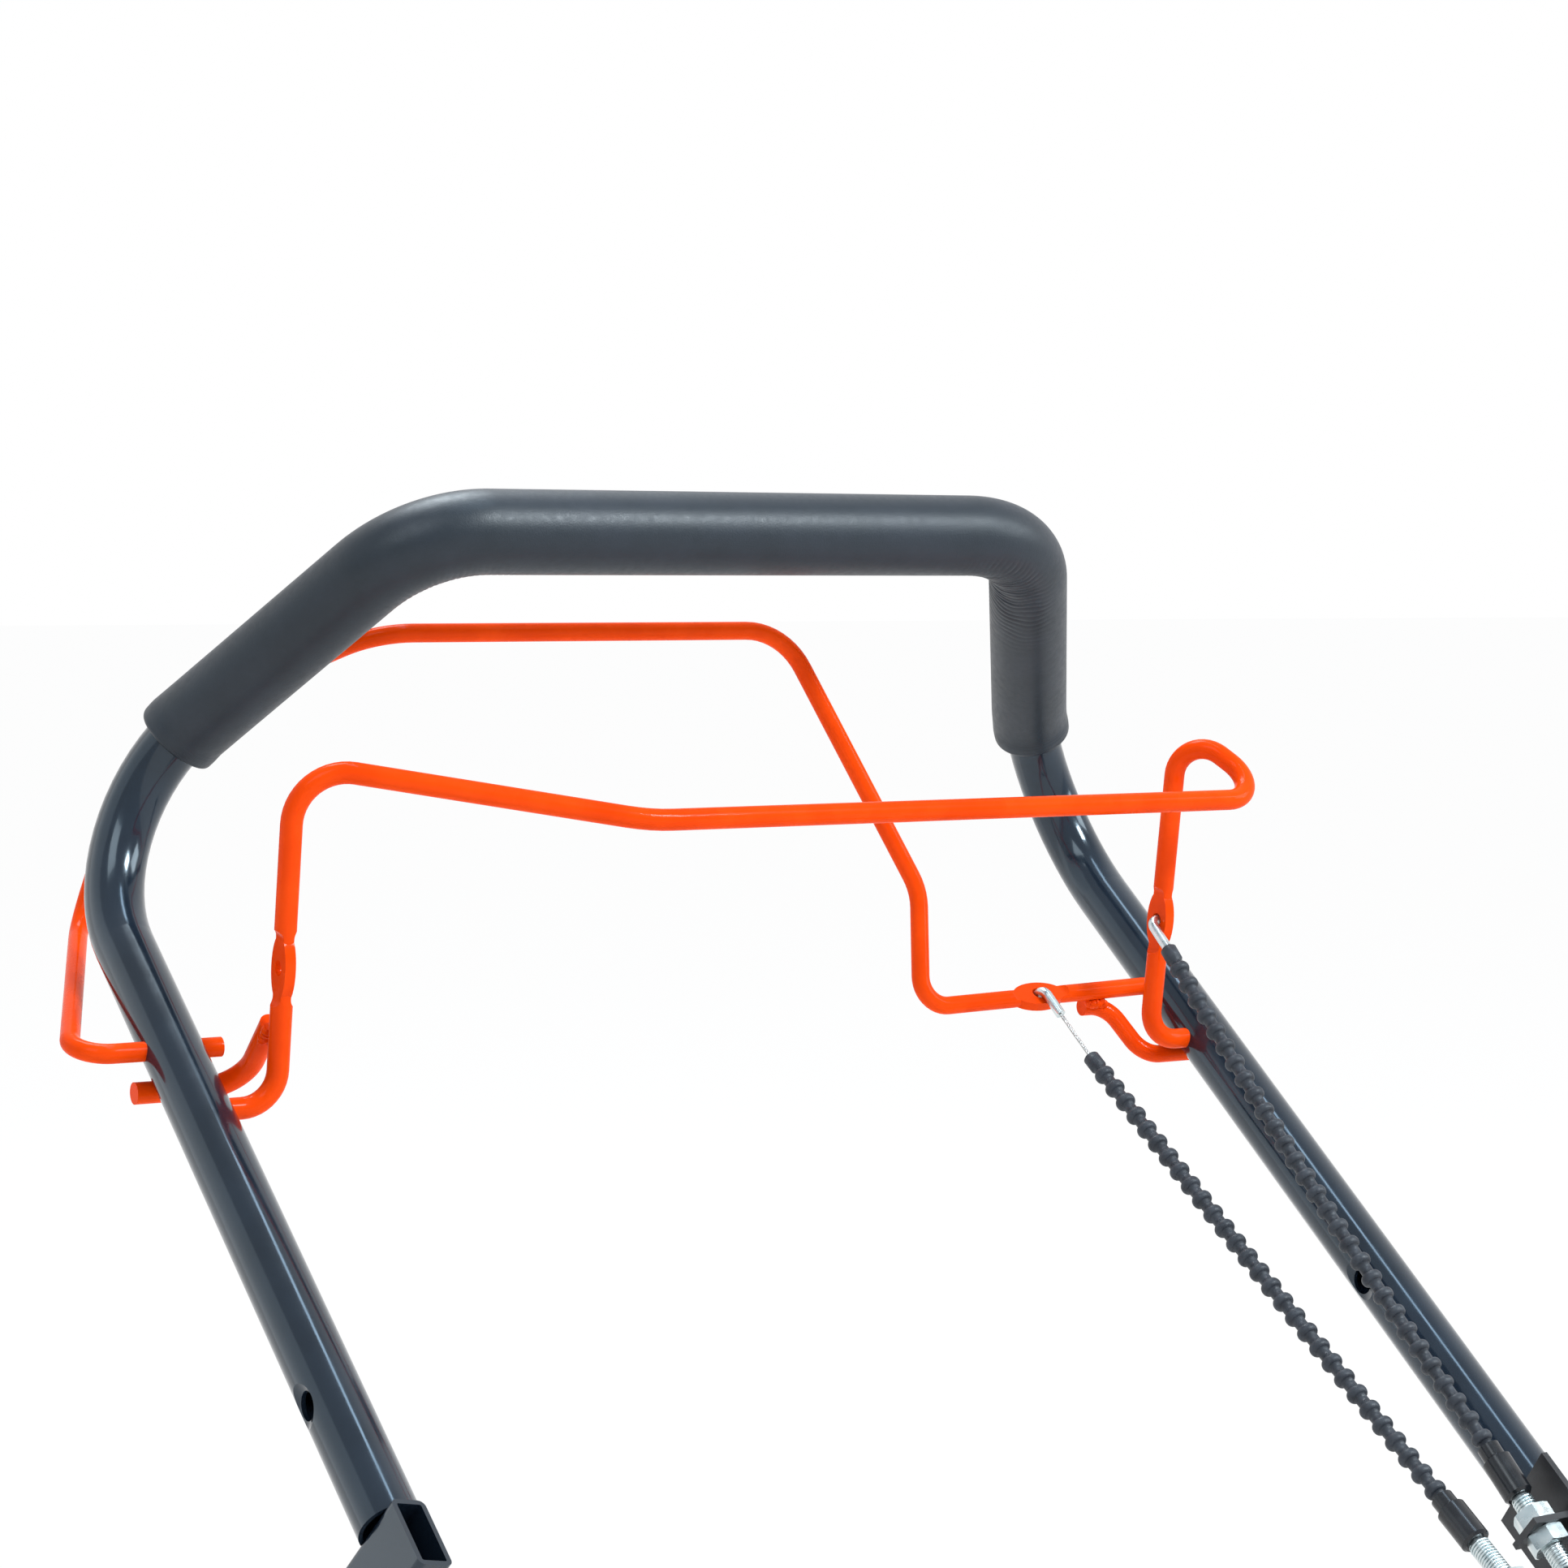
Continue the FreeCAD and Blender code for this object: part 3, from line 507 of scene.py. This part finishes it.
arm_way = Vector((0, math.cos(FRONT_LEAN), math.sin(FRONT_LEAN)))
front_corner = Vector((FRONT_ARM_X - HOOK_CLEAR, FRONT_HINGE_UP, 0)) + arm_way * FRONT_EYE_REACH
front_cap = Vector((FRONT_CABLE_X, FRONT_CAP_UP, CABLE_OUT))
front_boot_top = along_line(front_corner, front_cap, HOOK_SHANK + BOOT_GAP)
rear_drop = REAR_ELBOW_DROP * (REAR_PIN_X - REAR_EYE_X) / (REAR_PIN_X - REAR_ELBOW_X)
rear_eye = Vector((REAR_EYE_X, REAR_HINGE_UP - rear_drop * math.cos(REAR_LEAN), -rear_drop * math.sin(REAR_LEAN)))
rear_corner = rear_eye + Vector((0, 0, HOOK_CLEAR))
rear_cap = Vector((REAR_CABLE_X, REAR_CAP_UP, CABLE_OUT))
rear_boot_top = Vector((REAR_CABLE_X, REAR_BOOT_UP, -REAR_BOOT_SAG))
front_hook_end = along_line(front_corner, front_boot_top, HOOK_SHANK + WIRE_GAP)
rear_hook_end = along_line(rear_corner, rear_boot_top, HOOK_SHANK + WIRE_GAP)
front_flex = (along_line(front_boot_top, front_cap, FRONT_FLEX), front_hook_end)
rear_flex = (rear_boot_top, rear_hook_end)
print("boot lengths, mm:", round((front_cap - front_boot_top).length), round((rear_cap - rear_boot_top).length))


# %% Ribbed boots
COLLAR_LENGTH, COLLAR_RADIUS, COLLAR_ROUND, COLLAR_STEP, MOUTH_RADIUS = 7.0, 3.3, 0.5, 0.6, 1.2
BEAD_RADIUS, NECK_RADIUS, BEAD_PITCH, BEAD_SHARE = 4.0, 2.4, 8.2, 0.47
BEAD_STATIONS, BEAD_FULLNESS, BOOT_SIDES = 15, 0.8, 32


def bowed(top, end, bow, along):
    """A point so far along a line that hangs a little to one side between its ends."""
    share = along / (end - top).length
    inside = min(max(share, 0), 1)
    return top + (end - top) * share + bow * (4 * inside * (1 - inside))


def boot(name, top, end, bow):
    length = (end - top).length
    beads = int((length - COLLAR_LENGTH) / BEAD_PITCH)
    pitch = (length - COLLAR_LENGTH) / beads
    half = pitch * BEAD_SHARE / 2
    stations = [
        (0, MOUTH_RADIUS), (0, COLLAR_RADIUS - COLLAR_ROUND), (COLLAR_ROUND, COLLAR_RADIUS),
        (COLLAR_LENGTH - COLLAR_STEP, COLLAR_RADIUS), (COLLAR_LENGTH, NECK_RADIUS),
    ]
    for bead in range(beads):
        middle = COLLAR_LENGTH + (bead + 0.5) * pitch
        for turn in np.linspace(-90, 90, BEAD_STATIONS):
            across, crest = math.sin(math.radians(turn)), math.cos(math.radians(turn)) ** BEAD_FULLNESS
            stations.append((middle + half * across, NECK_RADIUS + (BEAD_RADIUS - NECK_RADIUS) * crest))
    stations.append((length, NECK_RADIUS))
    line = [place(*bowed(top, end, bow, along)) for along, _ in stations]
    widths = [radius * MM for _, radius in stations]
    piece = swept_piece(name + "_ribbed_boot", [(line, widths)], BOOT_SIDES, boot_rubber)
    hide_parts(name + "_cable_boot")
    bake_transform(piece)
    print(name, "beads:", beads)


boot("front", front_boot_top, front_cap, FRONT_BOW)
boot("rear", rear_boot_top, rear_cap, REAR_BOW)


# %% [markdown]
# The inner wire is a strand of fine steel wires laid round each other. Six thin lines wound round a core show this
# in the short bare length by the hook, and the rest hides in the boot, the cap and the stud.


# %% Laid inner wires
WIRE_RADIUS, CORE_WIRE_RADIUS, STRAND_RADIUS = 0.75, 0.3, 0.25
STRANDS, LAY_LENGTH, WIRE_STEP, WIRE_PIECES, STRAND_SIDES = 6, 7.0, 0.6, 40, 6


def inner_wire(name, top, end, bow, stud, flex):
    length = (end - top).length
    in_boot = [bowed(top, end, bow, length * k / WIRE_PIECES) for k in range(WIRE_PIECES + 1)]
    route = [flex[1]] + in_boot + [end + (end - top).normalized() * (CAP_LENGTH + stud)]
    total = sum((b - a).length for a, b in zip(route, route[1:]))
    _, stations = even_stations(route, 0, total, WIRE_STEP)
    ahead = np.gradient(stations, axis=0)
    ahead /= np.linalg.norm(ahead, axis=1)[:, None]
    first = np.cross(ahead, np.array([1.0, 0.0, 0.0]))
    first /= np.linalg.norm(first, axis=1)[:, None]
    second = np.cross(ahead, first)
    winding = np.arange(len(stations)) * WIRE_STEP / LAY_LENGTH * 2 * math.pi
    lines = [([place(*p) for p in stations], [CORE_WIRE_RADIUS * MM] * len(stations))]
    for strand in range(STRANDS):
        turn = winding + strand * 2 * math.pi / STRANDS
        spoke = np.cos(turn)[:, None] * first + np.sin(turn)[:, None] * second
        path = stations + (WIRE_RADIUS - STRAND_RADIUS) * spoke
        lines.append(([place(*p) for p in path], [STRAND_RADIUS * MM] * len(path)))
    piece = swept_piece(name + "_laid_wire", lines, STRAND_SIDES, cable_steel)
    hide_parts(name + "_cable_wire")
    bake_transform(piece)
    print(name, "wire length, mm:", round(total))


inner_wire("front", front_boot_top, front_cap, FRONT_BOW, FRONT_STUD, front_flex)
inner_wire("rear", rear_boot_top, rear_cap, REAR_BOW, REAR_STUD, rear_flex)


# %% [markdown]
# An adjuster is a threaded stud. Its thread is a ridge that winds round a core, and the same sweep makes it: the
# line is a helix, and the ridge is a thin rope half sunk in the core, which runs out thin at both ends.


# %% Threaded adjusters
THREAD_RADIUS, THREAD_PITCH, CORE_RADIUS, RIDGE = 4.0, 1.25, 3.55, 0.45
CHAMFER, CHAMFER_RADIUS, THREAD_MARGIN = 0.6, 3.2, 0.8
TURN_STEPS, RUN_OUT_STEPS, RUN_OUT_SHARE, ADJUSTER_SIDES = 20, 12, 0.2, 8


def adjuster(name, top, end, stud):
    towards = (end - top).normalized()
    base = end + towards * CAP_LENGTH
    first = towards.cross(Vector((0, 0, 1))).normalized()
    second = towards.cross(first)
    core = [base + towards * reach for reach in (0, CHAMFER, stud - CHAMFER, stud)]
    core_widths = [radius * MM for radius in (CHAMFER_RADIUS, CORE_RADIUS, CORE_RADIUS, CHAMFER_RADIUS)]
    lines = [([place(*p) for p in core], core_widths)]
    turns = (stud - 2 * THREAD_MARGIN) / THREAD_PITCH
    helix, widths = [], []
    steps = int(turns * TURN_STEPS)
    for k in range(steps + 1):
        turn = 2 * math.pi * turns * k / steps
        spoke = first * math.cos(turn) + second * math.sin(turn)
        reach = THREAD_MARGIN + THREAD_PITCH * turns * k / steps
        helix.append(place(*(base + towards * reach + spoke * (THREAD_RADIUS - RIDGE))))
        widths.append(RIDGE * MM * min(1, RUN_OUT_SHARE + min(k, steps - k) / RUN_OUT_STEPS))
    lines.append((helix, widths))
    piece = swept_piece(name + "_threaded_adjuster", lines, ADJUSTER_SIDES, zinc)
    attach(piece, "root")
    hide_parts(name + "_cable_adjuster")
    print(name, "thread turns:", round(turns, 1))


adjuster("front", front_boot_top, front_cap, FRONT_STUD)
adjuster("rear", rear_boot_top, rear_cap, REAR_STUD)

# %% [markdown]
# Each bail carries a short bent stop, welded to it by hand. The weld is three rows of drops, one on either side of
# the joint and one between, so its thickness swells and shrinks along the seam, and no two drops are quite alike.


# %% Welds
WELD_LENGTH, DROP_PITCH, DROP_BASE, DROP_HEIGHT, DROP_FULLNESS = 10.0, 2.3, 1.5, 0.7, 0.7
UNEVEN, UNEVEN_RATE, BLUNTNESS, TIP_SHARE = 0.25, 1.9, 6, 0.03
SEAM_STEPS, WELD_SIDES = 60, 14
SEAMS = ((2.5, 0.0), (-2.5, 1.7), (0.0, 3.1))


def weld(name, centre, along, side, body):
    lines = []
    for offset, drift in SEAMS:
        seam, widths = [], []
        for k in range(SEAM_STEPS + 1):
            reach = (k / SEAM_STEPS - 0.5) * WELD_LENGTH
            drop = abs(math.sin(math.pi * reach / DROP_PITCH + drift)) ** DROP_FULLNESS
            uneven = UNEVEN * math.sin(UNEVEN_RATE * reach + 2 * drift)
            taper = math.sqrt(max(1 - (2 * reach / WELD_LENGTH) ** BLUNTNESS, TIP_SHARE))
            seam.append(place(*(centre + along * reach + side * (offset + uneven))))
            widths.append((DROP_BASE + DROP_HEIGHT * drop + uneven) * taper * MM)
        lines.append((seam, widths))
    piece = swept_piece(name + "_weld_drops", lines, WELD_SIDES, bail_paint)
    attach(piece, body)
    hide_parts(name + "_weld")
    print(name, "weld faces:", len(piece.data.polygons))


ACROSS, UP = Vector((1, 0, 0)), Vector((0, 1, 0))
STOP_REACH, FRONT_PAIR, FRONT_WELD_REACH = 28.0, 8.3, 4.5
STOP_CORNER_UP, STOP_CORNER_OUT = 27.0, -15.3
REAR_WELD_X, REAR_PAIR = 182.5, 7.5
left_hinge = Vector((-FRONT_ARM_X, FRONT_HINGE_UP, 0))
beside_arm = Vector((0, math.sin(FRONT_LEAN), -math.cos(FRONT_LEAN)))
stop_top = left_hinge + arm_way * STOP_REACH + beside_arm * FRONT_PAIR
stop_way = (left_hinge + Vector((0, STOP_CORNER_UP, STOP_CORNER_OUT)) - stop_top).normalized()
front_seam = stop_top - beside_arm * (FRONT_PAIR / 2) + stop_way * FRONT_WELD_REACH
weld("front_bail", front_seam, stop_way, ACROSS, "front_bail")
rear_seam = Vector((REAR_WELD_X, rear_eye.y, rear_eye.z - REAR_PAIR / 2))
weld("rear_bail", rear_seam, ACROSS, UP, "rear_bail")

# %% [markdown]
# ## Camera, light and floor
# The camera stands where the photographer stood: at the mower's left, almost level with the grip. Its place and
# its two ways are written in the flat layout and tilted with the handle.

# %% Camera
LENS, SENSOR, CLIP_START, CLIP_END = 87.95, 36.0, 0.05, 60
CAMERA_SPOT = (-723.9, -759.2, 883.7)
photo_right = Vector((0.859, -0.413, 0.302))
photo_ahead = Vector((0.511, 0.662, -0.548)).normalized()
photo_right = (photo_right - photo_ahead * photo_right.dot(photo_ahead)).normalized()
photo_up = photo_right.cross(photo_ahead)
turn = Matrix((tilt @ photo_right, tilt @ photo_up, tilt @ -photo_ahead)).transposed().to_4x4()
camera = bpy.data.objects.new("photo_camera", bpy.data.cameras.new("photo_camera"))
camera.data.lens, camera.data.sensor_width = LENS, SENSOR
camera.data.clip_start, camera.data.clip_end = CLIP_START, CLIP_END
camera.matrix_world = Matrix.Translation(place(*CAMERA_SPOT)) @ turn
bpy.context.scene.collection.objects.link(camera)
bpy.context.scene.camera = camera
print("camera at", [round(v, 3) for v in camera.location])

# %% [markdown]
# Six soft lamps, all a little cool. The key stands beside the camera, high on its right, where it puts the satin
# highlight on the grip and the glints in the tube's bends. The others fill the sides and the top, and a narrow blue
# strip overhead draws a streak down the right leg.

# %% Lamps
AIM = (0, 0.1, 0.1)
COOL, BLUE = (0.84, 0.94, 1.0), (0.6, 0.8, 1.0)


def softbox(name, spot, target, size, watts, colour=COOL):
    lamp = bpy.data.objects.new(name, bpy.data.lights.new(name, "AREA"))
    lamp.data.shape, lamp.data.energy, lamp.data.color = "RECTANGLE", watts, colour
    lamp.data.size, lamp.data.size_y = size
    lamp.location = spot
    lamp.rotation_euler = (Vector(target) - Vector(spot)).to_track_quat("-Z", "Y").to_euler()
    bpy.context.scene.collection.objects.link(lamp)


softbox("key_softbox", (0.75, -1.3, 1.45), AIM, (0.45, 0.45), 34)
softbox("left_softbox", (-1.3, -1.0, 1.7), AIM, (1.0, 1.0), 12)
softbox("side_softbox", (-1.5, 0.8, 0.5), AIM, (1.6, 1.6), 4.5)
softbox("fill_softbox", (1.6, -0.9, 0.9), AIM, (0.8, 0.8), 14)
softbox("top_softbox", (0.1, 0.9, 1.9), AIM, (0.8, 0.8), 28)
softbox("strip_softbox", (0.2, -0.17, 1.9), (0.2, -0.17, 0.1), (0.2, 0.9), 5, BLUE)
print("lamps:", len(bpy.data.lights))

# %% [markdown]
# The background is white to camera, glossy and transmission rays, while the rays that light the scene meet a dimmer
# room, so that the colours come out as they are written. What the pieces mirror fades from the white ahead of the
# camera to the room behind it, as in a studio with one white wall. The floor does the same with a white glow.


# %% White world
ROOM_COLOUR, ROOM_STRENGTH, WHITE = (0.9, 0.95, 1.0, 1), 0.6, (1, 1, 1, 1)
WALL_FROM, WALL_TO = -0.1, 0.35


def seen_directly(tree, mirror_share=None):
    """One for camera rays, the mirror share for glossy and transmission rays, and zero for the rest."""
    path = tree.nodes.new("ShaderNodeLightPath")
    mirrored, total = tree.nodes.new("ShaderNodeMath"), tree.nodes.new("ShaderNodeMath")
    mirrored.operation = total.operation = "MAXIMUM"
    tree.links.new(path.outputs["Is Glossy Ray"], mirrored.inputs[0])
    tree.links.new(path.outputs["Is Transmission Ray"], mirrored.inputs[1])
    seen = mirrored.outputs[0]
    if mirror_share:
        dimmed = tree.nodes.new("ShaderNodeMath")
        dimmed.operation = "MULTIPLY"
        tree.links.new(seen, dimmed.inputs[0])
        tree.links.new(mirror_share, dimmed.inputs[1])
        seen = dimmed.outputs[0]
    tree.links.new(path.outputs["Is Camera Ray"], total.inputs[0])
    tree.links.new(seen, total.inputs[1])
    return total.outputs[0]


world = bpy.data.worlds.new("white_room")
bpy.context.scene.world = world
world.use_nodes = True
tree = world.node_tree
room, backdrop = tree.nodes["Background"], tree.nodes.new("ShaderNodeBackground")
mix = tree.nodes.new("ShaderNodeMixShader")
room.inputs["Color"].default_value, room.inputs["Strength"].default_value = ROOM_COLOUR, ROOM_STRENGTH
backdrop.inputs["Color"].default_value, backdrop.inputs["Strength"].default_value = WHITE, 1.0
view_way, ahead = tree.nodes.new("ShaderNodeTexCoord"), tree.nodes.new("ShaderNodeVectorMath")
wall = tree.nodes.new("ShaderNodeMapRange")
ahead.operation = "DOT_PRODUCT"
ahead.inputs[1].default_value = tilt @ photo_ahead
wall.inputs["From Min"].default_value, wall.inputs["From Max"].default_value = WALL_FROM, WALL_TO
tree.links.new(view_way.outputs["Generated"], ahead.inputs[0])
tree.links.new(ahead.outputs["Value"], wall.inputs["Value"])
tree.links.new(seen_directly(tree, wall.outputs["Result"]), mix.inputs["Fac"])
tree.links.new(room.outputs[0], mix.inputs[1])
tree.links.new(backdrop.outputs[0], mix.inputs[2])
tree.links.new(mix.outputs[0], tree.nodes["World Output"].inputs["Surface"])
print("world:", world.name)

# %% White floor
FLOOR_LEVEL, FLOOR_REACH, FLOOR_GLOW = -0.16, 30.0, 0.96
floor_mesh = bpy.data.meshes.new("floor")
floor_corners = [(x * FLOOR_REACH, y * FLOOR_REACH, FLOOR_LEVEL) for x, y in ((-1, -1), (1, -1), (1, 1), (-1, 1))]
floor_mesh.from_pydata(floor_corners, [], [(0, 1, 2, 3)])
floor = bpy.data.objects.new("floor", floor_mesh)
bpy.context.scene.collection.objects.link(floor)
floor_finish, tree, shader = new_finish("floor_white", (0.9, 0.9, 0.9), 0.9)
glow, mix = tree.nodes.new("ShaderNodeEmission"), tree.nodes.new("ShaderNodeMixShader")
share = tree.nodes.new("ShaderNodeMath")
share.operation = "MULTIPLY"
share.inputs[1].default_value = FLOOR_GLOW
tree.links.new(seen_directly(tree), share.inputs[0])
tree.links.new(share.outputs[0], mix.inputs["Fac"])
tree.links.new(shader.outputs[0], mix.inputs[1])
tree.links.new(glow.outputs[0], mix.inputs[2])
tree.links.new(mix.outputs[0], tree.nodes["Material Output"].inputs["Surface"])
floor_mesh.materials.append(floor_finish)
print("floor at", FLOOR_LEVEL)
